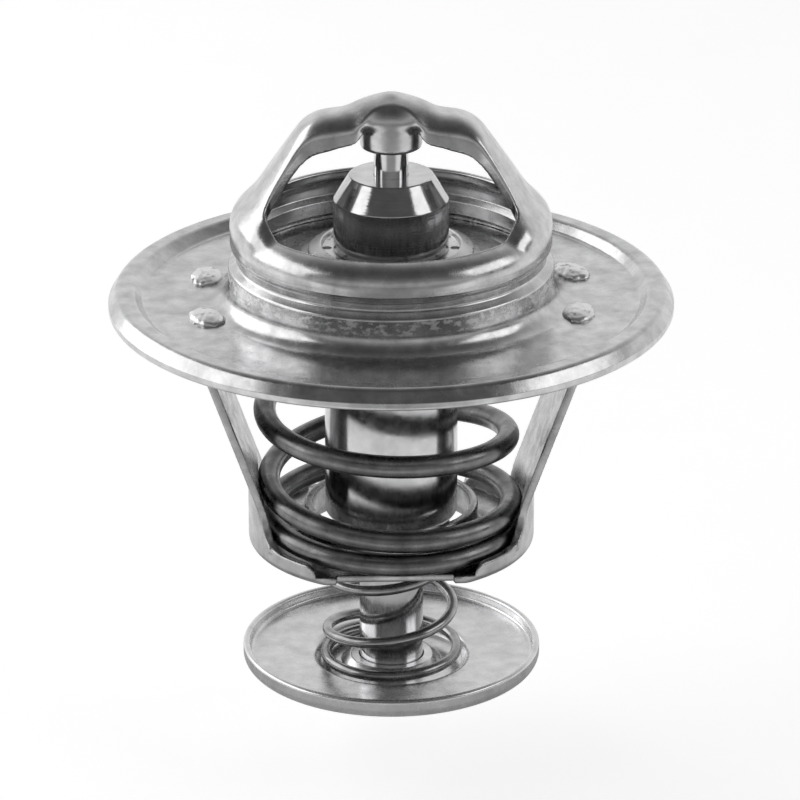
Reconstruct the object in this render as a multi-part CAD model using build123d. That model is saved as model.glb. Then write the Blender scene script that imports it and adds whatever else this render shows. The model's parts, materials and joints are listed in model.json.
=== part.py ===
from build123d import *
import os
from math import cos, radians, sin, sqrt

# Engine thermostat, in millimetres. +Z runs along the axis towards the bridge.
# The underside of the bypass disc's well lies on Z = 0.
# Names that end in _level are heights above the underside of the flange.

# Catalogue sizes
flange_diameter = 54.0
disc_diameter = 29.0
flange_to_disc = 35.0  # flange underside down to the top of the disc's rim

# Bypass disc
disc_sheet = 0.7
disc_rim_height = 1.05
disc_rim_bend = 0.35
disc_dish = 0.3
disc_well_depth = 0.9
disc_well_radius = 7.6
disc_well_floor_radius = 6.95
disc_hub_rise = 0.8
disc_hub_radius = 4.0
disc_hub_foot_radius = 4.9
disc_hub_round = 0.3
disc_well_floor_round = 0.2
disc_well_round = 0.9

# Valve body: flange with its raised rim
body_sheet = 1.0
rim_crest_level = 1.95
rim_crest_width = 1.6
rim_slope_width = 0.8  # from the crest out to the edge
rim_foot_width = 0.95  # from the crest in to the flat of the flange
rim_edge_level = 0.75
rim_edge_width = 0.5  # flat ring under the edge that rests in the housing
rim_round = 0.7
rim_inner_round = 0.3
rim_corner = 0.1

# Valve body: wall, neck and shoulder
wall_radius = 15.55
wall_flare = 1.1
wall_top_level = 4.45
neck_radius = 14.75
neck_low_level = 5.0
neck_high_level = 5.85
neck_round = 0.4
shoulder_radius = 15.3
shoulder_low_level = 6.4
shoulder_top_level = 9.4
shoulder_round = 2.1

# Valve body: bridge strap
leg_foot_level = 8.4
knee_offset = 7.85
knee_level = 19.3
crest_level = 20.25
foot_round = 5.0
knee_round = 4.2
crest_round = 14.0
crown_round = 3.0
strap_half_width = 3.0
strap_flare_start = 7.2
strap_flare = 0.42  # widening of each side per millimetre beyond the start
strap_flare_round = 7.0
strap_edge_turn = 1.05  # more than the sheet, so that the windows cut the whole edge away

# Valve body: windows
window_radius = 13.2
window_corner = 1.5

# Valve body: thimble over the piston
thimble_radius = 3.1
thimble_rim_level = 16.1
thimble_rim_round = 0.25
thimble_shoulder_level = 19.9
thimble_shoulder_round = 1.2
bump_level = 21.05
bump_radius = 0.6
bump_round = 1.0
pocket_top_level = 19.3

# Piston and its guide
piston_radius = 1.65
piston_tip_radius = 1.0
piston_tip_length = 3.0
piston_tip_round = 0.4
piston_edge = 0.2
piston_foot_level = -15.8
pocket_clearance = 0.02
guide_clearance = 0.03
guide_top_level = 13.3
guide_top_radius = 4.0
guide_cone_level = 10.9
guide_radius = 5.5
guide_edge = 0.2
guide_collar_clearance = 0.05
guide_collar_level = 5.25
groove_top_level = 5.9
groove_depth = 0.55
guide_foot_level = 3.6

# Wax element
case_radius = 6.4
case_wall = 0.7
case_lower_wall = 1.4
case_floor = 1.2
case_bottom_level = -21.4
case_corner = 0.7
crimp_level = 5.85
crimp_marks = 12
crimp_mark_radius = 0.45
crimp_mark_offset = 6.1
crimp_mark_depth = 0.2
bead_radius = 7.9
bead_edge_level = 5.85
bead_top_radius = 6.6
bead_top_level = 6.5
bead_foot_level = 5.15
bead_round = 0.15
washer_thickness = 0.5
boot_flange_thickness = 1.0
boot_radius = 3.3
boot_clearance = 0.05
boot_end_gap = 0.7
boot_end_thickness = 1.2
boot_foot_round = 0.8
boot_pocket_round = 0.6
filling_clearance = 0.02
filling_round = 0.3

# Valve plate
plate_sheet = 1.2
plate_bore_clearance = 0.04
plate_hub_radius = 8.7
plate_cone_radius = 12.3
plate_radius = 14.4
plate_seat_level = 3.95
plate_round = 0.6

# Main spring
main_wire = 2.15
main_radius = 11.7
main_pitch = 7.65
main_closed_pitch = 2.2
main_start_turn = 0.75  # turns from +X to where the lower end coil begins
main_tilt = 0.6
main_lean = 0.5

# Bypass spring
bypass_wire = 1.05
bypass_foot_radius = 6.4
bypass_head_radius = 5.16
bypass_pitch = 5.3
bypass_closed_pitch = 1.1
bypass_start_turn = 0.17

# Lower frame
frame_sheet = 0.8
frame_floor_level = -22.7
cup_radius = 13.85
cup_bend = 1.6
cup_lip_rise = 1.05
cup_lip_corner = 0.3
cup_sweep_level = -18.9
frame_half_width = 11.6
collar_radius = 8.4
collar_rise = 2.5
collar_round = 1.0
leg_foot_offset = 12.75
leg_foot_low_level = -19.6
leg_top_offset = 19.0
leg_top_level = -2.2
leg_half_width = 5.7
leg_shoulder_half_width = 7.1
leg_shoulder_depth = 4.0
leg_corner = 1.3
frame_turn = 2.0

# Tabs of the lower frame, bent over the flange
tab_width = 3.0
tab_spacing = 11.0
slot_clearance = 0.08
tab_head_offset = 17.6  # middle of each head from the axis
tab_head_length = 3.0
tab_head_width = 4.2
tab_head_height = 0.7
tab_head_round = 1.3
tab_head_edge = 0.3

# Bypass stem
stem_radius = 3.1
stem_clearance = 0.06
stem_head_radius = 4.35
stem_head_thickness = 0.8
stem_head_edge = 0.15
stem_foot_radius = 3.85
stem_foot_thickness = 0.55
stem_foot_edge = 0.2

# Heights and radii that follow from the sizes above
disc_hub_z = disc_sheet + disc_hub_rise
disc_foot_z = disc_sheet + disc_well_depth
disc_face_z = disc_foot_z + disc_dish
disc_rim_z = disc_face_z + disc_rim_height
flange_z = disc_rim_z + flange_to_disc
disc_radius = disc_diameter / 2
flange_radius = flange_diameter / 2
rim_crest_outer = flange_radius - rim_slope_width
rim_crest_inner = rim_crest_outer - rim_crest_width
rim_foot_radius = rim_crest_inner - rim_foot_width
case_bore = case_radius - case_wall
case_chamber = case_radius - case_lower_wall
guide_collar_radius = case_bore - guide_collar_clearance
groove_radius = guide_collar_radius - groove_depth


def level(height):
    """Turns a height above the flange underside into a Z."""
    return flange_z + height


def turned(points, radii=None):
    """Revolves a closed outline of (radius, Z) points, each corner with its own rounding."""
    corners = radii or [0] * len(points)
    with BuildPart() as piece:
        with BuildSketch(Plane.XZ):
            with BuildLine():
                FilletPolyline(*points, radius=corners, close=True)
            make_face()
        revolve(axis=Axis.Z)
    return piece.part


def shifted(points, depth):
    """Moves an open bent line sideways to its right by a depth."""
    normals = []
    for (x0, z0), (x1, z1) in zip(points, points[1:]):
        length = sqrt((x1 - x0) ** 2 + (z1 - z0) ** 2)
        normals.append(((z1 - z0) / length, (x0 - x1) / length))
    moved = []
    for index, (x, z) in enumerate(points):
        before = normals[max(index - 1, 0)]
        after = normals[min(index, len(normals) - 1)]
        share = 1 + before[0] * after[0] + before[1] * after[1]
        x += depth * (before[0] + after[0]) / share
        z += depth * (before[1] + after[1]) / share
        moved.append((x, z))
    return moved


def bends(points, radii, depth):
    """Rounding of each inner corner of a bent line once it has been shifted to its right."""
    rounds = []
    for (x0, z0), (x1, z1), (x2, z2), radius in zip(points, points[1:], points[2:], radii):
        turn = (x1 - x0) * (z2 - z1) - (z1 - z0) * (x2 - x1)
        rounds.append(max(radius + depth if turn > 0 else radius - depth, 0))
    return rounds


def pressed(points, radii, sheet):
    """Revolves a bent line of (radius, Z) points as a sheet that lies to its right."""
    inner = shifted(points, sheet)
    inner_radii = bends(points, radii, sheet)
    outline = points + inner[::-1]
    return turned(outline, [0] + radii + [0, 0] + inner_radii[::-1] + [0])


def wall_line(inset):
    """Bent line of the flange, wall, neck and shoulder, at a depth below the outer skin."""
    points = [
        (rim_foot_radius, level(body_sheet)),
        (wall_radius, level(body_sheet)),
        (wall_radius, level(wall_top_level)),
        (neck_radius, level(neck_low_level)),
        (neck_radius, level(neck_high_level)),
        (shoulder_radius, level(shoulder_low_level)),
        (shoulder_radius, level(shoulder_top_level)),
        (0, level(shoulder_top_level)),
    ]
    radii = [wall_flare, neck_round, neck_round, neck_round, neck_round, shoulder_round]
    return shifted(points, -inset), bends(points, radii, -inset)


def dome_form(inset):
    """Everything inside the wall and shoulder, at a depth below the outer skin."""
    points, radii = wall_line(inset)
    floor = level(-inset)
    outline = points + [(0, floor), (rim_foot_radius, floor)]
    return turned(outline, [0] + radii + [0, 0, 0])


def rim_ring():
    """Raised bead round the edge of the flange, hollow underneath."""
    hollow_level = rim_crest_level - body_sheet
    hollow_radius = rim_crest_inner + body_sheet / 2
    outline = [
        (rim_foot_radius, level(0)),
        (rim_foot_radius, level(body_sheet)),
        (rim_crest_inner, level(rim_crest_level)),
        (rim_crest_outer, level(rim_crest_level)),
        (flange_radius, level(rim_edge_level)),
        (flange_radius, level(0)),
        (flange_radius - rim_edge_width, level(0)),
        (flange_radius - 2 * rim_edge_width, level(hollow_level)),
        (hollow_radius, level(hollow_level)),
        (hollow_radius - rim_edge_width, level(0)),
    ]
    edges = [rim_corner, rim_corner, 0, rim_inner_round, rim_inner_round, 0]
    return turned(outline, [0, 0, rim_round, rim_round] + edges)


def strap_plan(margin):
    """Half-width line of the strap seen from above, as a closed hourglass."""
    near = strap_half_width + margin
    far = near + (shoulder_radius - strap_flare_start) * strap_flare
    quarter = [(shoulder_radius, far), (strap_flare_start, near)]
    upper = quarter + [(-x, y) for x, y in reversed(quarter)]
    lower = [(-x, -y) for x, y in upper]
    rounds = [0, strap_flare_round, strap_flare_round, 0] * 2
    with BuildSketch() as plan:
        with BuildLine():
            FilletPolyline(*upper, *lower, radius=rounds, close=True)
        make_face()
    return plan.sketch


def strap_form(inset):
    """Everything under the strap's skin, as an arch with crowned edges."""
    half = [
        (shoulder_radius, level(neck_high_level)),
        (shoulder_radius, level(leg_foot_level)),
        (knee_offset, level(knee_level)),
        (0, level(crest_level)),
    ]
    line = half + [(-x, z) for x, z in half[-2::-1]]
    radii = [foot_round, knee_round, crest_round, knee_round, foot_round]
    outline = shifted(line, -inset)
    rounds = bends(line, radii, -inset)
    with BuildPart() as strap:
        with BuildSketch(Plane.XZ):
            with BuildLine():
                FilletPolyline(*outline, radius=rounds)
                Line(outline[-1], outline[0])
            make_face()
        extrude(amount=shoulder_radius, both=True)
        plan = strap_plan(strap_edge_turn - inset)
        hourglass = extrude(plan, amount=2 * flange_z, mode=Mode.PRIVATE)
        add(hourglass, mode=Mode.INTERSECT)
        upper_edges = [e for e in strap.edges() if e.center().Z > level(leg_foot_level)]
        top_edges = [e for e in upper_edges if abs(e.center().Y) > strap_half_width / 2]
        fillet(top_edges, crown_round - inset)
    return strap.part


def window_cut():
    """Two D-shaped prisms beside the strap, pierced down through the dome."""
    with BuildPart() as windows:
        with BuildSketch(Plane.XY.offset(level(shoulder_low_level + body_sheet / 2))) as outline:
            Circle(window_radius)
            add(strap_plan(0), mode=Mode.SUBTRACT)
            corners = [v for v in outline.vertices() if v.X**2 + v.Y**2 > 0.99 * window_radius**2]
            fillet(corners, window_corner)
        extrude(amount=flange_z)
    return windows.part


def thimble():
    """Drawn pocket through the crest that holds the end of the piston, closed by a bump."""
    bore = piston_radius + pocket_clearance
    outline = [
        (0, level(pocket_top_level)),
        (bore, level(pocket_top_level)),
        (bore, level(thimble_rim_level)),
        (thimble_radius, level(thimble_rim_level)),
        (thimble_radius, level(thimble_shoulder_level)),
        (bump_radius, level(bump_level)),
        (0, level(bump_level)),
    ]
    return turned(outline, [0, 0, 0, thimble_rim_round, thimble_shoulder_round, bump_round, 0])


def tab_places():
    """Middles of the four tabs where they pass through the flange."""
    half = tab_spacing / 2
    middle = leg_top_offset - frame_sheet / 2
    return [(side * middle, row * half) for side in (1, -1) for row in (1, -1)]


def tab_slots():
    """Four slots in the flange for the tabs of the lower frame."""
    length = frame_sheet + 2 * slot_clearance
    width = tab_width + 2 * slot_clearance
    with BuildPart() as slots:
        with Locations([(x, y, level(body_sheet / 2)) for x, y in tab_places()]):
            Box(length, width, 2 * body_sheet)
    return Rotation(0, 0, frame_turn) * slots.part


def make_valve_body():
    """Flange, wall, neck, shoulder, bridge strap and thimble, pressed from one sheet."""
    skin = dome_form(0) + strap_form(0)
    hollow = dome_form(body_sheet) + strap_form(body_sheet)
    body = skin - hollow - window_cut() + rim_ring() + thimble()
    depth = pocket_top_level - thimble_rim_level
    pocket = Cylinder(piston_radius + pocket_clearance, depth)
    return body - Pos(0, 0, level(pocket_top_level) - depth / 2) * pocket - tab_slots()


def make_piston():
    """Polished rod between the thimble and the boot, tapered at the foot."""
    foot = level(piston_foot_level)
    outline = [
        (0, foot),
        (piston_tip_radius, foot),
        (piston_radius, foot + piston_tip_length),
        (piston_radius, level(pocket_top_level)),
        (0, level(pocket_top_level)),
    ]
    return turned(outline, [0, piston_tip_round, 0, piston_edge, 0])


def make_element_guide():
    """Turned nose with a bore for the piston and a groove for the crimp."""
    bore = piston_radius + guide_clearance
    outline = [
        (bore, level(guide_foot_level)),
        (guide_collar_radius, level(guide_foot_level)),
        (guide_collar_radius, level(guide_collar_level)),
        (groove_radius, level(guide_collar_level)),
        (groove_radius, level(groove_top_level)),
        (guide_radius, level(groove_top_level)),
        (guide_radius, level(guide_cone_level)),
        (guide_top_radius, level(guide_top_level)),
        (bore, level(guide_top_level)),
    ]
    return turned(outline, [0, 0, 0, 0, 0, guide_edge, guide_edge, guide_edge, 0])


def make_element_case():
    """Drawn cup for the wax, with a bead for the valve plate and a lip crimped over the guide."""
    ledge = level(guide_foot_level) - washer_thickness - boot_flange_thickness
    lip = groove_radius + filling_clearance
    outline = [
        (0, level(case_bottom_level)),
        (case_radius, level(case_bottom_level)),
        (case_radius, level(bead_foot_level)),
        (bead_radius, level(bead_foot_level)),
        (bead_radius, level(bead_edge_level)),
        (bead_top_radius, level(bead_top_level)),
        (bead_top_radius, level(crimp_level)),
        (lip, level(crimp_level)),
        (lip, level(guide_collar_level)),
        (case_bore, level(guide_collar_level)),
        (case_bore, ledge),
        (case_chamber, ledge),
        (case_chamber, level(case_bottom_level) + case_floor),
        (0, level(case_bottom_level) + case_floor),
    ]
    outer_rounds = [0, case_corner, 0, bead_round, bead_round, bead_round, bead_round]
    case = turned(outline, outer_rounds + [0, 0, 0, 0, 0, filling_round, 0])
    with BuildPart() as marks:
        with BuildSketch(Plane.XY.offset(level(crimp_level) - crimp_mark_depth)):
            with PolarLocations(crimp_mark_offset, crimp_marks):
                Circle(crimp_mark_radius)
        extrude(amount=2 * crimp_mark_depth)
    return case - marks.part


def make_anti_extrusion_washer():
    """Thin ring that keeps the boot out of the guide's bore."""
    top = level(guide_foot_level)
    foot = top - washer_thickness
    bore = piston_radius + guide_clearance
    return turned([(bore, foot), (guide_collar_radius, foot), (guide_collar_radius, top), (bore, top)])


def make_rubber_boot():
    """Closed sleeve round the piston's foot with a clamped flange."""
    top = level(guide_foot_level) - washer_thickness
    bore = piston_radius + boot_clearance
    pocket = level(piston_foot_level) - boot_end_gap
    outline = [
        (0, pocket - boot_end_thickness),
        (boot_radius, pocket - boot_end_thickness),
        (boot_radius, top - boot_flange_thickness),
        (guide_collar_radius, top - boot_flange_thickness),
        (guide_collar_radius, top),
        (bore, top),
        (bore, pocket),
        (0, pocket),
    ]
    return turned(outline, [0, boot_foot_round, 0, 0, 0, 0, boot_pocket_round, 0])


def make_wax_charge():
    """Wax that fills the case round the boot."""
    top = level(guide_foot_level) - washer_thickness - boot_flange_thickness
    floor = level(case_bottom_level) + case_floor
    boot_end = level(piston_foot_level) - boot_end_gap - boot_end_thickness
    wall = case_chamber - filling_clearance
    sleeve = boot_radius + filling_clearance
    outline = [
        (0, floor),
        (wall, floor),
        (wall, top),
        (sleeve, top),
        (sleeve, boot_end - filling_clearance),
        (0, boot_end - filling_clearance),
    ]
    return turned(outline, [0, filling_round + filling_clearance, 0, 0, 0, 0])


def make_poppet_plate():
    """Dished valve plate under the bead of the case."""
    line = [
        (case_radius + plate_bore_clearance, level(bead_foot_level)),
        (plate_hub_radius, level(bead_foot_level)),
        (plate_cone_radius, level(plate_seat_level)),
        (plate_radius, level(plate_seat_level)),
    ]
    return pressed(line, [plate_round, plate_round], plate_sheet)


def frame_form(inset):
    """Everything inside the cup and the slanted legs, at a depth below the outer skin."""
    floor = level(frame_floor_level) - frame_sheet + inset
    wall = cup_radius - inset
    rise = (leg_top_level - leg_foot_low_level) / (leg_top_offset - leg_foot_offset)
    lip = level(frame_floor_level + cup_lip_rise)
    cup_top = level(leg_foot_low_level) + rise * (cup_radius - leg_foot_offset) + frame_sheet
    cup = turned([(0, floor), (wall, floor), (wall, cup_top), (0, cup_top)], [0, cup_bend - inset, 0, 0])
    line = [
        (leg_foot_offset - (level(leg_foot_low_level) - lip) / rise, lip),
        (leg_top_offset, level(leg_top_level)),
        (leg_top_offset, level(2 * body_sheet)),
    ]
    half = shifted(line, -inset)
    outline = half + [(-x, z) for x, z in half[::-1]]
    with BuildPart() as wedge:
        with BuildSketch(Plane.XZ):
            with BuildLine():
                Polyline(*outline, close=True)
            make_face()
        extrude(amount=leg_shoulder_half_width, both=True)
    return cup + wedge.part


def frame_outline():
    """Developed outline of the strip seen from its side: cup, legs, shoulders and tabs."""
    lip = level(frame_floor_level + cup_lip_rise)
    sweep_round = cup_sweep_level - frame_floor_level - cup_lip_rise
    tab_outer = (tab_spacing + tab_width) / 2
    tab_inner = (tab_spacing - tab_width) / 2
    tab_top = level(body_sheet + tab_head_height / 2)
    half = [
        (frame_half_width, level(frame_floor_level) - 2 * frame_sheet),
        (frame_half_width, lip),
        (leg_half_width, lip),
        (leg_half_width, level(-leg_shoulder_depth)),
        (leg_shoulder_half_width, level(-leg_shoulder_depth + leg_corner)),
        (leg_shoulder_half_width, level(0)),
        (tab_outer, level(0)),
        (tab_outer, tab_top),
        (tab_inner, tab_top),
        (tab_inner, level(0)),
    ]
    rounds = [0, cup_lip_corner, sweep_round, leg_corner, leg_corner, 0, 0, 0, 0, 0]
    outline = half + [(-y, z) for y, z in half[::-1]]
    with BuildPart() as prism:
        with BuildSketch(Plane.YZ):
            with BuildLine():
                FilletPolyline(*outline, radius=rounds + rounds[::-1], close=True)
            make_face()
        extrude(amount=flange_radius, both=True)
    return prism.part


def collar():
    """Drawn collar round the hole in the cup's floor."""
    under = level(frame_floor_level) - frame_sheet
    bore = collar_radius - frame_sheet
    reach = collar_radius + collar_round + frame_sheet
    line = [(reach, under), (bore, under), (bore, level(frame_floor_level + collar_rise))]
    return pressed(line, [collar_round + frame_sheet], frame_sheet)


def tab_heads():
    """Ends of the four tabs, bent inwards and set down on the flange."""
    places = [(tab_head_offset if x > 0 else -tab_head_offset, y) for x, y in tab_places()]
    with BuildPart() as heads:
        with BuildSketch(Plane.XY.offset(level(body_sheet))):
            with Locations(places):
                RectangleRounded(tab_head_length, tab_head_width, tab_head_round)
        extrude(amount=tab_head_height)
        fillet(heads.faces().sort_by(Axis.Z)[-4:].edges(), tab_head_edge)
    return heads.part


def make_lower_frame():
    """Cup, two legs and four tabs, pressed and bent from one strip."""
    shell = frame_form(0) - frame_form(frame_sheet)
    strip = shell & frame_outline()
    floor_middle = Pos(0, 0, level(frame_floor_level) - frame_sheet / 2)
    hole = floor_middle * Cylinder(collar_radius + collar_round + frame_sheet, 2 * frame_sheet)
    frame = strip - hole + collar() + tab_heads()
    return Rotation(0, 0, frame_turn) * frame


def wound(points, wire):
    """Round wire swept along a smooth line through points."""
    with BuildPart() as spring:
        with BuildLine() as path:
            Spline(*points)
        with BuildSketch(Plane(origin=path.line @ 0, z_dir=path.line % 0)):
            Circle(wire / 2)
        sweep(path=path.line, is_frenet=True)
    return spring.part


def coil_drops(height, pitch, closed_pitch, steps_per_turn=16):
    """Pairs of (turns, drop) down a spring with one closed coil at each end."""
    end_coils = 2
    total = end_coils + (height - end_coils * closed_pitch) / pitch
    steps = round(total * steps_per_turn)
    pairs = []
    for step in range(steps + 1):
        turn = total * step / steps
        closed = min(turn, 1) + max(turn - total + 1, 0)
        pairs.append((turn, closed_pitch * closed + pitch * (turn - closed)))
    return total, pairs


def make_main_spring():
    """Left-hand spring between the cup's floor and the valve plate, leaning a little."""
    top = level(plate_seat_level) - plate_sheet - main_wire / 2
    bottom = level(frame_floor_level) + main_wire / 2
    total, pairs = coil_drops(top - bottom, main_pitch, main_closed_pitch)
    points = []
    for turn, drop in pairs:
        angle = radians(360 * (main_start_turn + turn - total + 1))
        share = sin(radians(180 * drop / (top - bottom))) ** 2
        x = main_radius * cos(angle) - main_lean * share
        z = top - drop + main_tilt * cos(angle) * share
        points.append((x, main_radius * sin(angle), z))
    return wound(points, main_wire)


def make_bypass_spring():
    """Right-hand conical spring between the case and the well of the disc."""
    top = level(case_bottom_level) - bypass_wire / 2
    bottom = disc_sheet + bypass_wire / 2
    total, pairs = coil_drops(top - bottom, bypass_pitch, bypass_closed_pitch)
    points = []
    for turn, drop in pairs:
        angle = radians(360 * (bypass_start_turn - turn + total - 1))
        share = min(max((turn - 1) / (total - 2), 0), 1)
        radius = bypass_head_radius + (bypass_foot_radius - bypass_head_radius) * share
        points.append((radius * cos(angle), radius * sin(angle), top - drop))
    return wound(points, bypass_wire)


def make_bypass_stem():
    """Rod under the case, headed at both ends, that carries the bypass disc."""
    top = level(case_bottom_level)
    foot_top = disc_hub_z - disc_sheet - filling_clearance
    outline = [
        (0, foot_top - stem_foot_thickness),
        (stem_foot_radius, foot_top - stem_foot_thickness),
        (stem_foot_radius, foot_top),
        (stem_radius, foot_top),
        (stem_radius, top - stem_head_thickness),
        (stem_head_radius, top - stem_head_thickness),
        (stem_head_radius, top),
        (0, top),
    ]
    return turned(outline, [0, stem_foot_edge, stem_foot_edge, 0, 0, stem_head_edge, 0, 0])


def make_bypass_disc():
    """Pressed disc with a turned-up rim, a well for the spring and a hub on the stem."""
    rim = disc_radius - disc_sheet
    line = [
        (stem_radius + stem_clearance, disc_hub_z),
        (disc_hub_radius, disc_hub_z),
        (disc_hub_foot_radius, disc_sheet),
        (disc_well_floor_radius, disc_sheet),
        (disc_well_radius, disc_foot_z),
        (rim, disc_face_z),
        (rim, disc_rim_z),
    ]
    rounds = [disc_hub_round, disc_well_floor_round, disc_well_floor_round, disc_well_round, disc_rim_bend]
    return pressed(line, rounds, disc_sheet)


makers = {
    "valve_body": make_valve_body,
    "lower_frame": make_lower_frame,
    "main_spring": make_main_spring,
    "piston": make_piston,
    "element_guide": make_element_guide,
    "element_case": make_element_case,
    "anti_extrusion_washer": make_anti_extrusion_washer,
    "rubber_boot": make_rubber_boot,
    "wax_charge": make_wax_charge,
    "poppet_plate": make_poppet_plate,
    "bypass_stem": make_bypass_stem,
    "bypass_spring": make_bypass_spring,
    "bypass_disc": make_bypass_disc,
}

os.makedirs("parts", exist_ok=True)
for name, make in makers.items():
    export_step(make(), f"parts/{name}.step")
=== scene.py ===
import json
from math import ceil, cos, pi, radians, sin, tan

import bpy
import numpy as np
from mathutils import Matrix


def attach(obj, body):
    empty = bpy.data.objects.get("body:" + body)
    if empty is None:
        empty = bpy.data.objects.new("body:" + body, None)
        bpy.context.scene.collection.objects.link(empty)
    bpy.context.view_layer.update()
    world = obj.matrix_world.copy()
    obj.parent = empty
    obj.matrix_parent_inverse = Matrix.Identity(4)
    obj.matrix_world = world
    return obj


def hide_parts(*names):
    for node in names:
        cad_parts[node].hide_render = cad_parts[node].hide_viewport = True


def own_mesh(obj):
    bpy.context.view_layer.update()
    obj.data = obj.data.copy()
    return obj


# Looks of the engine thermostat. Shapes are worked out in millimetres and scaled at the end.
# Names that end in _level are heights above the underside of the flange.

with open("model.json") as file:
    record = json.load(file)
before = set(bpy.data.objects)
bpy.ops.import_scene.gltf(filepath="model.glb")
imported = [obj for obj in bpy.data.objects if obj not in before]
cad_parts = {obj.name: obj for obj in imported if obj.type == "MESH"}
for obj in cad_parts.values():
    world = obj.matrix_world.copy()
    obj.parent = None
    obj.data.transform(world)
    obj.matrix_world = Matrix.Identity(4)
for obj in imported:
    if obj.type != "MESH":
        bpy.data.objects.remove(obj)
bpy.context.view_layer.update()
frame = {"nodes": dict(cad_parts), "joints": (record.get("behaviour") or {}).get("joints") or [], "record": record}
millimetre = 0.001
flange_z = 37.95
body_step = 0.19
frame_step = 0.2

# Valve body: flange, rim, wall, neck and shoulder
body_sheet = 1.0
flange_radius = 27.0
rim_foot_radius = 23.65
rim_crest_inner = 24.6
rim_crest_outer = 26.2
rim_crest_level = 1.95
rim_edge_level = 0.75
wall_radius = 15.55
wall_flare = 1.9
wall_top_level = 4.45
neck_radius = 14.75
neck_low_level = 5.0
neck_high_level = 5.85
neck_round = 0.4
neck_bend_offset = 0.2
shoulder_radius = 15.3
shoulder_low_level = 6.4
shoulder_top_level = 9.4
shoulder_round = 2.2
seam_level = 6.8

# Valve body: windows
window_radius = 13.2
window_corner = 1.6
window_edge_round = 0.3

# Valve body: bridge strap. A value in _soft is added under a root, in square millimetres.
strap_half_width = 3.05
strap_waist = 1.6
strap_waist_reach = 2.4
strap_flare = 0.54
strap_flare_start = 8.5
strap_flare_soft = 0.42
strap_side_slope = 1.04
strap_side_margin = 2.3
strap_side_round = 2.2
strap_foot_start = 5.0
strap_crown = 3.0
strap_crown_reach = 1.5
strap_edge_drop = 1.3
leg_edge_drop = 0.8
leg_edge_start = 5.5
leg_edge_end = 9.5
boss_lift = 0.75
leg_foot_level = 8.4
leg_foot_round = 0.9
knee_offset = 7.85
knee_level = 19.3
knee_round = 1.45
crest_level = 20.25
crest_soft = 0.5
bump_height = 0.8
bump_spread = 2.0
bump_soft = 0.4
strap_blend_least = 0.15
strap_blend_growth = 2.6
strap_blend_low_level = 7.0
strap_blend_high_level = 10.2

# Valve body: thimble over the piston
thimble_radius = 2.95
thimble_round = 0.35
thimble_rim_level = 16.1
thimble_crown = 1.3
thimble_blend_least = 0.4
thimble_blend_growth = 1.8
thimble_blend_low_level = 17.4
thimble_blend_high_level = 19.4
pocket_top_level = 19.3
pocket_radius = 1.67
pocket_edge_round = 0.12

# Lower frame: cup and collar
frame_sheet = 0.8
frame_edge_round = 0.25
frame_half_width = 11.6
frame_floor_level = -23.3
frame_under_level = frame_floor_level - frame_sheet
frame_turn = radians(2.0)
cup_radius = 13.85
cup_bend = 0.75
cup_wall_end = 7.6
cup_lip_level = -22.25
cup_lip_corner = 1.0
cup_sweep = 2.75
cup_top_level = cup_lip_level + cup_sweep + 3
relief_half_width = 5.6
relief_depth = 0.6
relief_round = 0.15
collar_radius = 8.4
collar_round = 1.0
collar_top_level = -20.2
collar_overlap = 0.2

# Lower frame: legs
leg_foot_offset = 12.75
leg_foot_low_level = -19.6
leg_foot_blend = 0.5
leg_top_offset = 19.0
leg_top_level = -2.2
leg_top_blend = 0.6
leg_half_width = 5.7
leg_shoulder_half_width = 7.1
leg_shoulder_depth = 4.0
leg_shoulder_round = 0.7
leg_corner = 1.3

# Lower frame: tabs, peened down on the flange
tab_offset = 5.5
tab_half_width = 1.5
tab_reach = 1.1
tab_head_middle = 17.6
tab_head_length = 3.2
tab_head_width = 4.6
tab_head_height = 0.7
tab_head_fall = 0.6
tab_head_lean = 0.15
tab_head_turn = 0.3
tab_head_round = 0.3
tab_head_wobble = 0.07
tab_head_dents = 0.035
tab_head_specks = 0.012

# Bypass disc
disc_radius = 14.5
disc_sheet = 0.7
disc_rim_level = -35.0
disc_face_level = -36.05
disc_dish = 0.3
disc_foot_level = -36.95
disc_well_level = disc_sheet - flange_z
disc_well_radius = 7.6
disc_well_floor_radius = 6.95
disc_hub_level = disc_well_level + 0.8
disc_hub_foot_radius = 4.9
disc_hub_radius = 4.0
disc_bore = 3.16

# Springs. Turns are counted from the top, and the closed coils at the foot begin in the
# direction of the start turn, which is a share of a whole turn.
main_wire = 2.15
main_radius = 11.7
main_pitch = 7.65
main_closed_pitch = 2.35
main_foot_turns = 1.25
main_start_turn = 0.75
main_tilt = 0.6
main_lean = 0.5
main_top_level = 1.675
main_foot_level = -22.225
bypass_wire = 1.05
bypass_foot_radius = 6.4
bypass_head_radius = 5.16
bypass_pitch = 5.3
bypass_closed_pitch = 1.1
bypass_foot_turns = 1.0
bypass_start_turn = 0.17
bypass_top_level = -21.925
bypass_foot_level = 1.225 - flange_z


# Distance fields: negative inside, in millimetres, heights as levels

def smooth_max(a, b, reach):
    """Larger of two fields, with the edge between them rounded."""
    near = np.maximum(reach - np.abs(a - b), 0)
    return np.maximum(a, b) + near * near / (4 * reach)


def smooth_min(a, b, reach):
    """Smaller of two fields, with the valley between them filled."""
    return -smooth_max(-a, -b, reach)


def corner(a, b, radius):
    """Inside both fields, with an exactly round corner of that radius."""
    outer = np.hypot(np.maximum(a + radius, 0), np.maximum(b + radius, 0))
    return np.minimum(np.maximum(a, b) + radius, 0) + outer - radius


def step_between(value, low, high):
    """Smooth step from 0 at low to 1 at high."""
    share = np.clip((value - low) / (high - low), 0, 1)
    return share * share * (3 - 2 * share)


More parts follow.
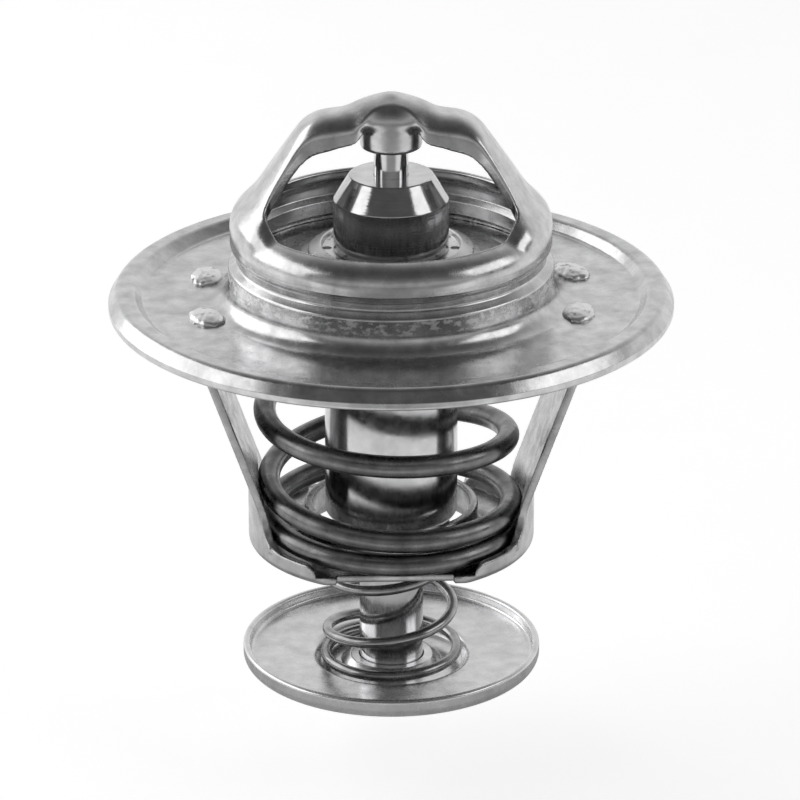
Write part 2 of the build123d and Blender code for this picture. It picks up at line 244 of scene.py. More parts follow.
def lumps(x, y, z, size):
    """Soft uneven pattern between -1 and 1 with lumps of about that size."""
    u, v, w = x / size, y / size, z / size
    first = np.sin(2.1 * u + 1.3 * v + 0.7) * np.cos(1.7 * v - 1.1 * w)
    second = np.sin(3.4 * w + 1.9 * u + 2.1) * np.cos(2.9 * u - 2.3 * v)
    return (first + second) / 2


def strap_width(side):
    """Half the strap's width at a distance from the axis: narrow at the thimble, wide at the feet."""
    beyond = side - strap_flare_start
    waist = strap_waist * np.exp(-((side / strap_waist_reach) ** 4))
    flare = strap_flare * (beyond + np.sqrt(beyond * beyond + strap_flare_soft)) / 2
    return strap_half_width - waist + flare


def strap_arch(x, y, z):
    """Legs, knees and crest of the bridge, with the bump over the piston."""
    radius, side = np.hypot(x, y), np.abs(x)
    run, rise = shoulder_radius - knee_offset, knee_level - leg_foot_level
    leg = (rise * (side - shoulder_radius) + run * (z - leg_foot_level)) / np.hypot(run, rise)
    fall = crest_level - knee_level
    crest = fall * np.sqrt(x * x + crest_soft) + knee_offset * (z - crest_level)
    crest = crest / np.hypot(fall, knee_offset)
    crest = crest - bump_height / (1 + (radius * radius + bump_soft) / bump_spread**2) ** 1.5
    return smooth_max(smooth_max(leg, crest, knee_round), side - shoulder_radius, leg_foot_round)


def edge_drop(side):
    """How far the strap's edges turn down at a distance from the axis."""
    change = step_between(side, leg_edge_start, leg_edge_end)
    drop = strap_edge_drop + (leg_edge_drop - strap_edge_drop) * change
    return drop * (1 - boss_lift * np.exp(-((side / strap_waist_reach) ** 2)))


def dome_skin(x, y, z):
    """Outer skin of the shoulder and the bridge, blended into each other."""
    side, half = np.abs(x), np.abs(y)
    dome = corner(np.hypot(x, y) - shoulder_radius, z - shoulder_top_level, shoulder_round)
    width = np.maximum(strap_width(side), strap_half_width)
    share = np.minimum(half / width, strap_crown_reach)
    foot = step_between(side, strap_foot_start, shoulder_radius - body_sheet)
    drop = edge_drop(side)
    turn_down = drop * share**strap_crown * (1 - foot)
    hug = foot * (shoulder_radius - np.sqrt(np.maximum(shoulder_radius**2 - y * y, 1)))
    slope = strap_crown * drop * share ** (strap_crown - 1) / width * (1 - foot)
    strap = (strap_arch(x, y, z) + turn_down + hug) / np.sqrt(1 + slope * slope)
    strap = smooth_max(strap, half - width - strap_side_margin, strap_side_round)
    height = step_between(z, strap_blend_low_level, strap_blend_high_level)
    return smooth_min(dome, strap, strap_blend_least + strap_blend_growth * height)


def dome_top(x, y, z):
    """Sheet of the shoulder and bridge with both windows and the thimble."""
    radius = np.hypot(x, y)
    skin = dome_skin(x, y, z)
    sheet = np.maximum(skin, -skin - body_sheet)
    beside_strap = (strap_width(np.abs(x)) - np.abs(y)) / strap_side_slope
    window = smooth_max(radius - window_radius, beside_strap, window_corner)
    sheet = smooth_max(sheet, -window, window_edge_round)
    thimble = corner(radius - thimble_radius, thimble_rim_level - z, thimble_round)
    thimble = smooth_max(thimble, skin, thimble_crown)
    height = step_between(z, thimble_blend_low_level, thimble_blend_high_level)
    sheet = smooth_min(sheet, thimble, thimble_blend_least + thimble_blend_growth * height)
    pocket = np.maximum(radius - pocket_radius, z - pocket_top_level)
    return smooth_max(sheet, -pocket, pocket_edge_round)


def frame_shell(x, y, z):
    """Sheet of the cup and of both slanted legs, before its outline is cut."""
    radius, side, half = np.hypot(x, y), np.abs(x), np.abs(y)
    rise = (leg_top_level - leg_foot_low_level) / (leg_top_offset - leg_foot_offset)
    leg = (rise * (side - leg_foot_offset) - (z - leg_foot_low_level)) / np.hypot(rise, 1)
    leg = smooth_max(leg, side - leg_top_offset, leg_top_blend)
    limits = np.maximum(half - leg_shoulder_half_width, cup_lip_level - z)
    cup = corner(radius - cup_radius, frame_under_level - z, cup_bend)
    cup = np.maximum(cup, z - cup_top_level)
    outer = smooth_min(cup, np.maximum(leg, limits), leg_foot_blend)
    inner = smooth_min(cup + frame_sheet, np.maximum(leg + frame_sheet, limits), leg_foot_blend)
    return np.maximum(outer, -inner)


def frame_outline(x, y, z):
    """Outline that the strip is cut to: cup wall, floor, legs, their shoulders and the tabs."""
    side, half = np.abs(x), np.abs(y)
    relief = step_between(side, relief_half_width - relief_round, relief_half_width + relief_round)
    floor_width = frame_half_width - relief_depth * (1 - relief)
    wall = corner(cup_wall_end - side, z - cup_lip_level, cup_lip_corner)
    band = np.minimum(wall, np.maximum(half - floor_width, z - frame_floor_level))
    strip = half - leg_half_width
    open_band, open_strip = np.maximum(cup_sweep - band, 0), np.maximum(cup_sweep - strip, 0)
    outline = np.maximum(np.minimum(band, strip), cup_sweep) - np.hypot(open_band, open_strip)
    flare = leg_shoulder_half_width - leg_half_width
    slope = (half - leg_half_width) * leg_corner - (z + leg_shoulder_depth) * flare
    slope = slope / np.hypot(flare, leg_corner)
    shoulder = smooth_max(half - leg_shoulder_half_width, slope, leg_shoulder_round)
    outline = np.maximum(smooth_min(outline, shoulder, leg_shoulder_round), z)
    tab = np.maximum(np.abs(half - tab_offset) - tab_half_width, np.abs(z) - tab_reach)
    return np.minimum(outline, tab)


def frame_strip(x, y, z):
    """Sheet of the cup, collar, legs and tabs before it is turned about the axis."""
    radius = np.hypot(x, y)
    shell = smooth_max(frame_shell(x, y, z), frame_outline(x, y, z), frame_edge_round)
    bend = collar_round + frame_sheet
    skirt = corner(collar_radius - frame_sheet - radius, frame_under_level - z, bend)
    collar = np.maximum(skirt, -skirt - frame_sheet)
    collar = smooth_max(collar, z - collar_top_level, frame_edge_round)
    reach = collar_radius + bend
    around = np.maximum(shell, reach - collar_overlap - radius)
    return np.minimum(around, np.maximum(collar, radius - reach - collar_overlap))


def tab_heads(x, y, z):
    """Ends of the four tabs, peened down on the flange into low uneven domes."""
    side, half = np.abs(x) - tab_head_middle, np.abs(y) - tab_offset
    lean = tab_head_lean * np.sign(y) * np.sign(x)
    turned_side = side * cos(tab_head_turn) + half * sin(tab_head_turn)
    turned_half = half * cos(tab_head_turn) - side * sin(tab_head_turn)
    u = turned_side / (tab_head_length / 2)
    v = turned_half / (tab_head_width / 2) + lean * u
    plan = np.hypot(u, v) + tab_head_wobble * lumps(x, y, 3, 0.8)
    crown = tab_head_height * (1 - tab_head_fall * np.minimum(plan, 1.2) ** 2)
    rough = tab_head_dents * lumps(x, y, z, 0.5) + tab_head_specks * lumps(y, x, z, 0.22)
    return smooth_max((plan - 1) * 1.4, (z - body_sheet - crown + rough) * 0.9, tab_head_round)


# Mesh makers: each gives (places, normals, faces)

def normals_of(field, places, reach=0.02):
    """Slope of a field at places, from differences over a small reach."""
    slope = np.empty_like(places)
    for axis in range(3):
        ahead, behind = places.copy(), places.copy()
        ahead[:, axis] += reach
        behind[:, axis] -= reach
        slope[:, axis] = (field(*ahead.T) - field(*behind.T)) / (2 * reach)
    return slope


def crossed_cells(values):
    """Cells of a grid of field values that the surface crosses, and its mean place in each."""
    inside = values < 0
    spans = [(i, j, k) for i in (0, 1) for j in (0, 1) for k in (0, 1)]
    count = 0
    for span in spans:
        part = tuple(slice(start, size - 1 + start) for start, size in zip(span, inside.shape))
        count = count + inside[part].astype(np.int8)
    cells = np.argwhere((count > 0) & (count < 8))
    total = np.zeros((len(cells), 3))
    hits = np.zeros(len(cells))
    for span in spans:
        for axis in range(3):
            if span[axis]:
                continue
            far = np.array(span)
            far[axis] = 1
            a = values[tuple((cells + span).T)]
            b = values[tuple((cells + far).T)]
            crossed = (a < 0) != (b < 0)
            place = np.tile(np.array(span, float), (len(cells), 1))
            place[:, axis] = a / np.where(crossed, a - b, 1)
            total[crossed] += place[crossed]
            hits += crossed
    return cells, cells + total / hits[:, None]


def netted(field, low, high, step):
    """Mesh of a field's surface: one point in each cell of a grid that the surface crosses."""
    axes = [np.arange(a, b + step, step) for a, b in zip(low, high)]
    values = field(*np.meshgrid(*axes, indexing="ij", sparse=True)).astype(np.float32)
    inside = values < 0
    cells, means = crossed_cells(values)
    ids = np.full([size - 1 for size in values.shape], -1)
    ids[tuple(cells.T)] = np.arange(len(cells))
    places = np.array(low) + step * means
    for _ in range(3):
        slope = normals_of(field, places)
        shift = (field(*places.T) / np.maximum((slope**2).sum(1), 0.2))[:, None] * slope
        places = places - np.clip(shift, -step / 2, step / 2)
    slope = normals_of(field, places)
    normals = slope / np.linalg.norm(slope, axis=1)[:, None]
    faces = []
    for axis in range(3):
        order = (axis, (axis + 1) % 3, (axis + 2) % 3)
        held, cell = inside.transpose(order), ids.transpose(order)
        i, j, k = np.nonzero(held[:-1, 1:-1, 1:-1] != held[1:, 1:-1, 1:-1])
        ring = [cell[i, j, k], cell[i, j + 1, k], cell[i, j + 1, k + 1], cell[i, j, k + 1]]
        quads = np.stack(ring, 1)
        away = ~held[i, j + 1, k + 1]
        quads[away] = quads[away][:, ::-1]
        faces.append(quads)
    return places, normals, np.concatenate(faces)


def rounded(points, radii, closed):
    """Samples of an outline with rounded corners, and the direction out of it at each.

    The inside of the outline lies to its left.
    """
    places, ways = [], []
    count = len(points)
    for index, (point, radius) in enumerate(zip(points, radii)):
        point = np.array(point, float)
        before = point - np.array(points[index - 1], float)
        after = np.array(points[(index + 1) % count], float) - point
        if not closed and index == 0:
            before = after
        if not closed and index == count - 1:
            after = before
        a, b = before / np.linalg.norm(before), after / np.linalg.norm(after)
        turn = np.arctan2(a[0] * b[1] - a[1] * b[0], a @ b)
        start = point - a * radius * abs(tan(turn / 2))
        way = np.array([a[1], -a[0]])
        centre = start - np.sign(turn) * radius * way
        samples = 1 + max(1, ceil(abs(turn) / radians(9))) if turn else 1
        for angle in np.linspace(0, turn, samples):
            out_x = way[0] * cos(angle) - way[1] * sin(angle)
            out_y = way[0] * sin(angle) + way[1] * cos(angle)
            turned = np.array([out_x, out_y])
            places.append(centre + np.sign(turn) * radius * turned)
            ways.append(turned)
    return np.array(places), np.array(ways)


def revolved(line, angles):
    """Copies of (radius, level) points at every angle about the axis."""
    round_x, round_y = np.cos(angles)[:, None], np.sin(angles)[:, None]
    spun = [line[:, 0] * round_x, line[:, 0] * round_y, line[:, 1] + 0 * round_x]
    return np.stack(spun, 2).reshape(-1, 3)


def lathe(corners, closed=False, segments=288):
    """Revolves an outline of (radius, level, rounding) corners, given with its inside to the left."""
    line, ways = rounded([corner[:2] for corner in corners], [corner[2] for corner in corners], closed)
    angles = np.arange(segments) * 2 * pi / segments
    rows = len(line)
    first = np.arange(rows if closed else rows - 1)
    second = (first + 1) % rows
    here = np.arange(segments)[:, None] * rows
    after = (np.arange(1, segments + 1) % segments)[:, None] * rows
    ring = [here + first, after + first, after + second, here + second]
    return revolved(line, angles), revolved(ways, angles), np.stack(ring, 2).reshape(-1, 4)


def wire(path, radius, around=28):
    """Round wire along a path, with rounded-off ends."""
    along = np.gradient(path, axis=0)
    along /= np.linalg.norm(along, axis=1)[:, None]
    outward = path * [1, 1, 0]
    outward -= along * (outward * along).sum(1)[:, None]
    outward /= np.linalg.norm(outward, axis=1)[:, None]
    aside = np.cross(along, outward)
    angles = np.arange(around) * 2 * pi / around
    across, up = np.cos(angles)[None, :, None], np.sin(angles)[None, :, None]
    ways = across * outward[:, None] + up * aside[:, None]
    taper = np.ones(len(path))
    taper[[0, -1]] = 0
    taper[[1, -2]] = 0.8
    places = path[:, None] + radius * taper[:, None, None] * ways
    row = np.arange(len(path) - 1)[:, None] * around
    here, after = np.arange(around), (np.arange(around) + 1) % around
    ring = [row + here, row + after, row + around + after, row + around + here]
    return places.reshape(-1, 3), ways.reshape(-1, 3), np.stack(ring, 2).reshape(-1, 4)


def joined(*meshes):
    """Several meshes as one."""
    counts = np.cumsum([0] + [len(m[0]) for m in meshes])
    faces = np.concatenate([m[2] + start for m, start in zip(meshes, counts)])
    return np.concatenate([m[0] for m in meshes]), np.concatenate([m[1] for m in meshes]), faces


def turned_about(mesh, angle):
    """The same mesh turned about the axis."""
    turn = np.array([[cos(angle), sin(angle), 0], [-sin(angle), cos(angle), 0], [0, 0, 1]])
    return mesh[0] @ turn, mesh[1] @ turn, mesh[2]


def piece(name, mesh, body, slot, node):
    """Puts a mesh into the scene in place of a CAD node."""
    places, normals, faces = mesh
    data = bpy.data.meshes.new(name)
    data.from_pydata(((places + [0, 0, flange_z]) * millimetre).tolist(), [], faces.tolist())
    data.polygons.foreach_set("use_smooth", np.ones(len(faces), bool))
    data.normals_split_custom_set_from_vertices(normals.tolist())
    made = bpy.data.objects.new(name, data)
    bpy.context.scene.collection.objects.link(made)
    data.materials.append(finishes[slot])
    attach(made, body)
    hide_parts(node)
    return made


# Materials

def new_material(name):
    """Empty node material: its tree, its shader and its place texture."""
    made = bpy.data.materials.new(name)
    made.use_nodes = True
    tree = made.node_tree
    place = tree.nodes.new("ShaderNodeTexCoord").outputs["Object"]
    return made, tree, tree.nodes["Principled BSDF"], place


def node(tree, kind, settings=None, **values):
    """New node with its plain settings, and with socket values or links given by socket name.

    A name such as _0 stands for the socket of that number.
    """
    made = tree.nodes.new("ShaderNode" + kind)
    for key, value in (settings or {}).items():
        setattr(made, key, value)
    for key, value in values.items():
        socket = made.inputs[int(key[1:])] if key[1:].isdigit() else made.inputs[key.replace("_", " ")]
        if isinstance(value, bpy.types.NodeSocket):
            tree.links.new(value, socket)
        else:
            socket.default_value = value
    return made


def reckon(tree, operation, *terms):
    """Result of an operation on sockets or numbers."""
    values = {f"_{index}": term for index, term in enumerate(terms)}
    return node(tree, "Math", {"operation": operation}, **values).outputs[0]


def noise(tree, place, scale, stretch=(1, 1, 1), detail=4.0, rough=0.55):
    """Noise with features of 1 / scale metres, stretched along the axes."""
    spots = node(tree, "Mapping", Vector=place, Scale=tuple(scale * s for s in stretch)).outputs[0]
    made = node(tree, "TexNoise", Vector=spots, Scale=1.0, Detail=detail, Roughness=rough)
    return made.outputs["Fac"]


def spread(tree, value, low, high, to_low, to_high):
    """Maps a value from one range to another."""
    made = node(tree, "MapRange", Value=value, From_Min=low, From_Max=high, To_Min=to_low, To_Max=to_high)
    return made.outputs[0]


def two_tone(tree, factor, first, second):
    """Colour ramp between two colours, and its two stops."""
    made = node(tree, "ValToRGB", Fac=factor)
    stops = made.color_ramp.elements
    stops[0].color, stops[1].color = (*first, 1), (*second, 1)
    return made.outputs[0], stops


def turning_rings(tree, place):
    """Fine grooves of a lathe, round the axis on flat faces and along it on walls."""
    across = {"wave_type": "RINGS", "rings_direction": "Z"}
    along = {"bands_direction": "Z"}
    shared = {"Vector": place, "Detail": 2.0}
    faced = node(tree, "TexWave", across, Scale=900.0, Distortion=1.2, Detail_Scale=3.0, **shared)
    walled = node(tree, "TexWave", along, Scale=1100.0, Distortion=1.0, Detail_Scale=2.0, **shared)
    return reckon(tree, "ADD", faced.outputs["Fac"], walled.outputs["Fac"])


def dull_band(tree, place, low, high, cover):
    """Speckled cover of a band between two levels, with soft edges."""
    fade, least, most, gain = 0.1, 0.62, 0.7, 0.3
    here = node(tree, "SeparateXYZ", Vector=place).outputs[2]
    low_z, high_z = flange_z + low, flange_z + high
    over = spread(tree, here, (low_z - fade) * millimetre, (low_z + fade) * millimetre, 0, 1)
    below = spread(tree, here, (high_z - fade) * millimetre, (high_z + fade) * millimetre, 1, 0)
    spots = noise(tree, place, 1900, stretch=(0.6, 0.6, 1), detail=6)
    speckle = spread(tree, spots, least - cover * gain, most - cover * gain, 0, 1)
    return reckon(tree, "MULTIPLY", reckon(tree, "MULTIPLY", over, below), speckle)


def metal(name, dark, light, smooth, rough, grain=1.0, rings=0.0, streaks=0.0, matte=None):
    """Bare metal with clouded tone and polish, fine grain, and if wanted turning rings or drawing streaks.

    Matte gives the levels between which the surface is dull, speckled and paler, and how much of it; on the crimp
    ring that pale tone is partly a painted highlight.
    """
    mottle, blue, bump_strength, bump_depth = 500, 1.01, 0.5, 0.00001
    matte_tone_and_painted_light, matte_rough = 0.9, 0.4
    made, tree, shader, place = new_material(name)
    shader.inputs["Metallic"].default_value = 1.0
    cloud = noise(tree, place, mottle, detail=6)
    fine = noise(tree, place, 5200, detail=3)
    colour, stops = two_tone(tree, cloud, (dark, dark, dark * blue), (light, light, light * blue))
    stops[0].position, stops[1].position = 0.3, 0.7
    height = reckon(tree, "MULTIPLY", fine, 0.35 * grain)
    if rings:
        height = reckon(tree, "MULTIPLY_ADD", turning_rings(tree, place), rings, height)
    if streaks:
        drawn = noise(tree, place, 2600, stretch=(0.08, 0.08, 1), detail=4)
        height = reckon(tree, "MULTIPLY_ADD", drawn, streaks, height)
    polish = spread(tree, noise(tree, place, mottle * 1.7, detail=5), 0.3, 0.7, smooth, rough)
    if matte:
        dull = dull_band(tree, place, *matte)
        polish = spread(tree, dull, 0, 1, polish, matte_rough)
        pale = (matte_tone_and_painted_light, matte_tone_and_painted_light, matte_tone_and_painted_light, 1)
        # Pale cover of the matte band: on the crimp ring this tone is a painted highlight, as if the ring were lit
        # through the windows.
        colour = node(tree, "MixRGB", Fac=dull, Color1=colour, Color2=pale).outputs[0]
    tree.links.new(colour, shader.inputs["Base Color"])
    tree.links.new(polish, shader.inputs["Roughness"])
    bump = node(tree, "Bump", Strength=bump_strength, Distance=bump_depth, Height=height)
    tree.links.new(bump.outputs[0], shader.inputs["Normal"])
    return made


def soft(name, dark, light, smooth, rough, scale):
    """Rubber, plastic or wax with an uneven tone and a fine surface."""
    bump_strength, bump_depth = 0.4, 0.00002
    made, tree, shader, place = new_material(name)
    colour = two_tone(tree, noise(tree, place, scale), dark, light)[0]
    polish = spread(tree, noise(tree, place, scale * 2), 0.3, 0.7, smooth, rough)
    height = noise(tree, place, scale * 5)
    tree.links.new(colour, shader.inputs["Base Color"])
    tree.links.new(polish, shader.inputs["Roughness"])
    bump = node(tree, "Bump", Strength=bump_strength, Distance=bump_depth, Height=height)
    tree.links.new(bump.outputs[0], shader.inputs["Normal"])
    return made


wall_band = (2.9, 4.3, 0.4)
lug_band = (1.0, 2.5, 0.9)
# Crimp ring: a real dull speckled finish, with a pale tone that is a painted highlight standing in for light
# through the windows.
crimp_band_painted_light = (5.2, 7.0, 1.0)
finishes = {
    "body_steel": metal("body_steel", 0.46, 0.7, 0.17, 0.3, grain=1.8, streaks=2.0, matte=wall_band),
    "frame_steel": metal("frame_steel", 0.32, 0.52, 0.2, 0.36, grain=1.6, streaks=0.8, matte=lug_band),
    "disc_steel": metal("disc_steel", 0.6, 0.78, 0.2, 0.32, grain=1.2),
    "plate_steel": metal("plate_steel", 0.45, 0.62, 0.22, 0.35),
    "spring_steel": metal("spring_steel", 0.12, 0.26, 0.22, 0.38, grain=1.2),
    "thin_spring_steel": metal("thin_spring_steel", 0.24, 0.42, 0.16, 0.3),
    "polished_rod": metal("polished_rod", 0.6, 0.75, 0.08, 0.16, grain=0.3),
    "turned_metal": metal("turned_metal", 0.52, 0.68, 0.09, 0.18, grain=0.5, rings=0.3),
    "case_metal": metal("case_metal", 0.5, 0.68, 0.12, 0.22, grain=0.6, streaks=0.3, matte=crimp_band_painted_light),
    "rubber": soft("rubber", (0.012, 0.012, 0.012), (0.03, 0.03, 0.03), 0.5, 0.8, 900),
    "washer_plastic": soft("washer_plastic", (0.6, 0.58, 0.52), (0.72, 0.7, 0.66), 0.35, 0.5, 900),
    "wax": soft("wax", (0.42, 0.3, 0.16), (0.55, 0.42, 0.25), 0.4, 0.6, 500),
}
for part in frame["record"]["subparts"]:
    shown = frame["nodes"][part["node"]].data
    shown.materials.clear()
    shown.materials.append(finishes[part["material_slot"]])


# Pieces. An outline's corners are (radius, level, rounding).

def body_ring():
    """Flange with its raised rim, base flare, wall and neck, up to the seam under the shoulder."""
    sheet, bend = body_sheet, neck_bend_offset
    tight = neck_round * 0.5
    corners = [
        (shoulder_radius - sheet, seam_level, 0),
        (shoulder_radius - sheet, shoulder_low_level + bend, tight),
        (neck_radius - sheet, neck_high_level + bend, tight),
        (neck_radius - sheet, neck_low_level - bend, tight),
        (wall_radius - sheet, wall_top_level - bend, tight),
        (wall_radius - sheet, 0, 0.9),
        (rim_foot_radius + 0.5, 0, 0.1),
        (rim_foot_radius + 1.0, rim_crest_level - sheet, 0.3),
        (rim_crest_outer - 0.25, rim_crest_level - sheet, 0.3),
        (flange_radius - 0.5, 0, 0.03),
        (flange_radius, 0, 0.35),
        (flange_radius, rim_edge_level, 0.15),
        (rim_crest_outer, rim_crest_level, 0.7),
        (rim_crest_inner, rim_crest_level, 0.7),
        (rim_foot_radius, sheet, 0.6),
        (wall_radius, sheet, wall_flare),
        (wall_radius, wall_top_level, neck_round),
        (neck_radius, neck_low_level, neck_round),
        (neck_radius, neck_high_level, neck_round),
        (shoulder_radius, shoulder_low_level, neck_round),
        (shoulder_radius, seam_level, 0),
    ]
    return lathe(corners)


def bypass_disc():
    """Pressed disc with a round-edged rim, a well for the spring and a hub on the stem."""
    sheet, round_edge = disc_sheet, disc_sheet * 0.46
    corners = [
        (disc_radius, disc_foot_level, sheet + 0.3),
        (disc_radius, disc_rim_level, round_edge),
        (disc_radius - sheet, disc_rim_level, round_edge),
        (disc_radius - sheet, disc_face_level, 0.35),
        (disc_well_radius, disc_face_level - disc_dish, 0.9),
        (disc_well_floor_radius, disc_well_level, 0.2),
        (disc_hub_foot_radius, disc_well_level, 0.2),
        (disc_hub_radius, disc_hub_level, 0.3),
        (disc_bore, disc_hub_level, 0.1),
        (disc_bore, disc_hub_level - sheet, 0.1),
        (disc_hub_radius - 0.3, disc_hub_level - sheet, 0.3),
        (disc_hub_foot_radius - 0.3, disc_well_level - sheet, 0.3),
        (disc_well_floor_radius + 0.35, disc_well_level - sheet, 0.6),
        (disc_well_radius + 0.35, disc_face_level - disc_dish - sheet, 0.6),
    ]
    return lathe(corners, closed=True, segments=300)


def coil_path(height, pitch, closed_pitch, foot_turns, steps=110):
    """Turns and drops down a spring with closed coils at each end, the last of them flat on its seat."""
    ease, flat_turns = 0.06, 0.95
    closed = 1 + foot_turns
    total = closed + (height - closed * closed_pitch) / pitch
    foot = total - foot_turns
    turns = np.linspace(0, total, round(total * steps))
    opened = step_between(turns, 1 - ease, 1 + ease) * (1 - step_between(turns, foot - ease, foot + ease))
    rate = closed_pitch + (pitch - closed_pitch) * opened
    rate = rate * step_between(total - turns, 0, foot_turns - flat_turns)
    drops = np.concatenate([[0], np.cumsum((rate[1:] + rate[:-1]) / 2 * np.diff(turns))])
    return total, turns, drops * height / drops[-1]


def main_spring():
    """Left-hand wire between the cup's floor and the valve plate, leaning a little."""
    height = main_top_level - main_foot_level
    total, turns, drops = coil_path(height, main_pitch, main_closed_pitch, main_foot_turns)
    angle = 2 * pi * (main_start_turn + turns - total + main_foot_turns)
    share = np.sin(pi * drops / height) ** 2
    x = main_radius * np.cos(angle) - main_lean * share
    z = main_top_level - drops + main_tilt * np.cos(angle) * share
    return wire(np.stack([x, main_radius * np.sin(angle), z], 1), main_wire / 2)


def bypass_spring():
    """Right-hand conical wire between the case and the well of the disc."""
    height = bypass_top_level - bypass_foot_level
    total, turns, drops = coil_path(height, bypass_pitch, bypass_closed_pitch, bypass_foot_turns)
    angle = 2 * pi * (bypass_start_turn - turns + total - 1)
    share = np.clip((turns - 1) / (total - 2), 0, 1)
    radius = bypass_head_radius + (bypass_foot_radius - bypass_head_radius) * share
    path = np.stack([radius * np.cos(angle), radius * np.sin(angle), bypass_top_level - drops], 1)
    return wire(path, bypass_wire / 2, around=20)


dome_low, dome_high = (-15.7, -15.7, seam_level - body_step), (15.7, 15.7, 21.6)
dome = netted(dome_top, dome_low, dome_high, body_step)
piece("bridge_body", joined(body_ring(), dome), "housing", "body_steel", "valve_body")

strip = netted(frame_strip, (-19.6, -12.1, -24.9), (19.6, 12.1, 1.9), frame_step)
heads = netted(tab_heads, (-19.5, -8.1, 0.95), (19.5, 8.1, 2.0), frame_step / 2)
piece("frame_body", turned_about(joined(strip, heads), frame_turn), "housing", "frame_steel", "lower_frame")

piece("bypass_plate", bypass_disc(), "disc", "disc_steel", "bypass_disc")
main = piece("main_coil", main_spring(), "housing", "spring_steel", "main_spring")
bypass = piece("bypass_coil", bypass_spring(), "element", "thin_spring_steel", "bypass_spring")


def stroke(joint):
    """How far a joint moves, in metres."""
    return next(j["range_m"][1] for j in frame["joints"] if j["name"] == joint)


def squeezed(coil):
    """Gives a spring its own copy of its mesh; nothing here shortens it."""
    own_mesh(coil)


squeezed(main)
squeezed(bypass)


# Camera, light and floor

def look_from(distance, elevation, lens, aim_right, aim_down):
    """Camera at a distance from the middle of the flange, turned a little off it."""
    camera = bpy.data.objects.new("camera", bpy.data.cameras.new("camera"))
    bpy.context.scene.collection.objects.link(camera)
    camera.location = (0, -distance * cos(elevation), flange_z * millimetre + distance * sin(elevation))
    camera.rotation_euler = (pi / 2 - elevation - aim_down, 0, -aim_right)
    camera.data.lens = lens
    camera.data.clip_start = 0.01
    bpy.context.scene.camera = camera


def lamp(name, place, size, power, aim=(0, 0, 0.04)):
    """Soft rectangular lamp that points at a place."""
    light = bpy.data.lights.new(name, "AREA")
    light.shape = "RECTANGLE"
    light.size, light.size_y = size
    light.energy = power
    made = bpy.data.objects.new(name, light)
    bpy.context.scene.collection.objects.link(made)
    made.location = place
    way = np.array(aim, float) - np.array(place, float)
    made.rotation_euler = (np.arctan2(np.hypot(way[0], way[1]), -way[2]), 0, np.arctan2(-way[0], way[1]))


def studio():
    """World round the object: bright behind, dark overhead, grey in front, pale to the camera."""
    backdrop_tone = 0.94
    tones = [
        (0.0, 0.9),
        (0.14, 0.86),
        (0.24, 0.6),
        (0.34, 0.3),
        (0.46, 0.12),
        (0.6, 0.07),
        (0.76, 0.1),
        (0.86, 0.25),
        (0.93, 0.5),
        (1.0, 0.4),
    ]
    world = bpy.data.worlds.new("studio")
    bpy.context.scene.world = world
    world.use_nodes = True
    tree = world.node_tree
    directions = tree.nodes.new("ShaderNodeTexCoord").outputs["Generated"]
    way = node(tree, "SeparateXYZ", Vector=directions).outputs
    arc = reckon(tree, "ARCTAN2", way[2], way[1])
    ramp = node(tree, "ValToRGB", Fac=spread(tree, arc, 0, pi, 0, 1))
    stops = ramp.color_ramp.elements
    stops[0].position, stops[1].position = tones[0][0], tones[-1][0]
    for position, _ in tones[1:-1]:
        stops.new(position)
    for stop, (_, tone) in zip(stops, tones):
        stop.color = (tone, tone, tone, 1)
    seen = tree.nodes.new("ShaderNodeLightPath").outputs["Is Camera Ray"]
    pale = (backdrop_tone, backdrop_tone, backdrop_tone, 1)
    shown = node(tree, "MixRGB", Fac=seen, Color1=ramp.outputs[0], Color2=pale)
    tree.links.new(shown.outputs[0], tree.nodes["Background"].inputs["Color"])


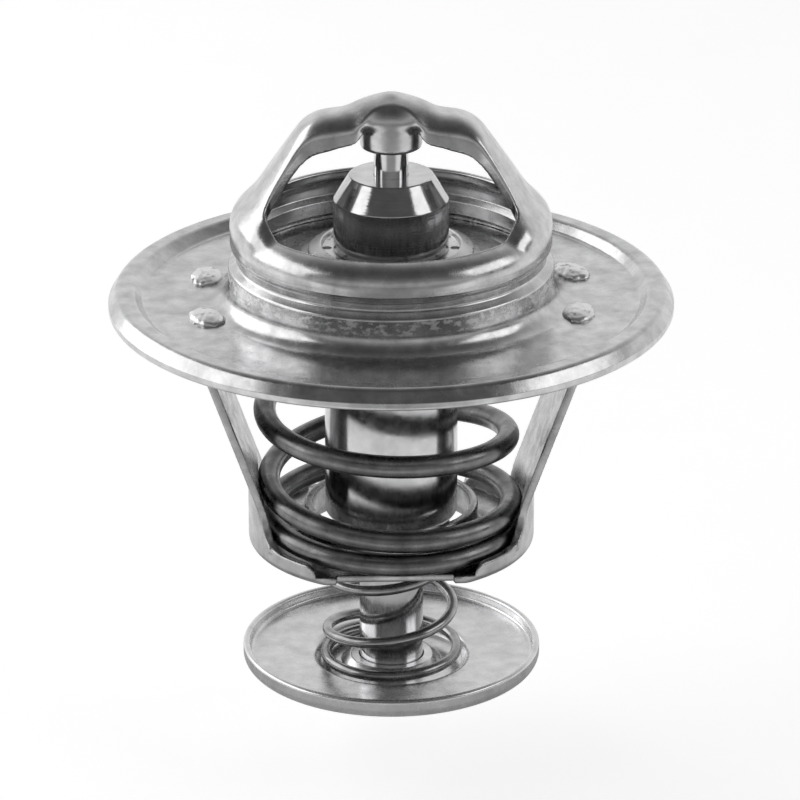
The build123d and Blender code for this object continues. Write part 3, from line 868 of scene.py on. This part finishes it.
def mirrored_floor(tree, place):
    """Glow of the floor as the metal mirrors it: dark far in front, and a painted shadow close under the disc."""
    dark_front, bright_front = -0.125, -0.085
    disc_painted_shadow, disc_light = 0.036, 0.06
    across = node(tree, "SeparateXYZ", Vector=place).outputs
    aside = reckon(tree, "ABSOLUTE", across[0])
    ahead = reckon(tree, "MULTIPLY_ADD", aside, 0.5, across[1])
    lit = spread(tree, ahead, dark_front, bright_front, 0.05, 0.62)
    reach = node(tree, "VectorMath", {"operation": "LENGTH"}, _0=place).outputs["Value"]
    # Painted shadow: the mirrored glow falls to 0.12 close under the disc.
    return reckon(tree, "MULTIPLY", lit, spread(tree, reach, disc_painted_shadow, disc_light, 0.12, 1))


def paper():
    """Pale matt paper that glows to the camera, and otherwise only in mirrors."""
    camera_glow = 0.67
    made, tree, shader, place = new_material("paper")
    tone = spread(tree, noise(tree, place, 60), 0.3, 0.7, 0.64, 0.66)
    shade = node(tree, "CombineColor", Red=tone, Green=tone, Blue=tone)
    tree.links.new(shade.outputs[0], shader.inputs["Base Color"])
    shader.inputs["Roughness"].default_value = 0.9
    rays = tree.nodes.new("ShaderNodeLightPath").outputs
    strength = spread(tree, rays["Is Camera Ray"], 0, 1, mirrored_floor(tree, place), camera_glow)
    glow = node(tree, "Emission", Color=(1, 1, 1, 1), Strength=strength)
    both = node(tree, "AddShader", _0=shader.outputs[0], _1=glow.outputs[0])
    seen = reckon(tree, "MAXIMUM", rays["Is Camera Ray"], rays["Is Glossy Ray"])
    shown = node(tree, "MixShader", Fac=seen, _1=shader.outputs[0], _2=both.outputs[0])
    tree.links.new(shown.outputs[0], tree.nodes["Material Output"].inputs["Surface"])
    return made


def floor_below(depth, reach=6):
    """Square floor of paper at a depth below the disc."""
    data = bpy.data.meshes.new("floor")
    corners = [(-reach, -reach, 0), (reach, -reach, 0), (reach, reach, 0), (-reach, reach, 0)]
    data.from_pydata(corners, [], [(0, 1, 2, 3)])
    made = bpy.data.objects.new("floor", data)
    bpy.context.scene.collection.objects.link(made)
    made.location.z = -depth
    data.materials.append(paper())
    return made


look_from(0.5, radians(21.06), 235.4, radians(0.104), radians(1.0385))
lamp("left_box", (-0.37, 0.06, 0.22), (0.58, 0.3), 0.84)
lamp("right_box", (0.36, -0.07, 0.24), (0.28, 0.2), 0.26)
studio()

# The floor lies below the stroke of the valve, so that the opened disc stays above it
floor_gap = 0.0002
floor = floor_below(stroke("valve_lift") + floor_gap)
bpy.context.scene.view_settings.view_transform = "Standard"
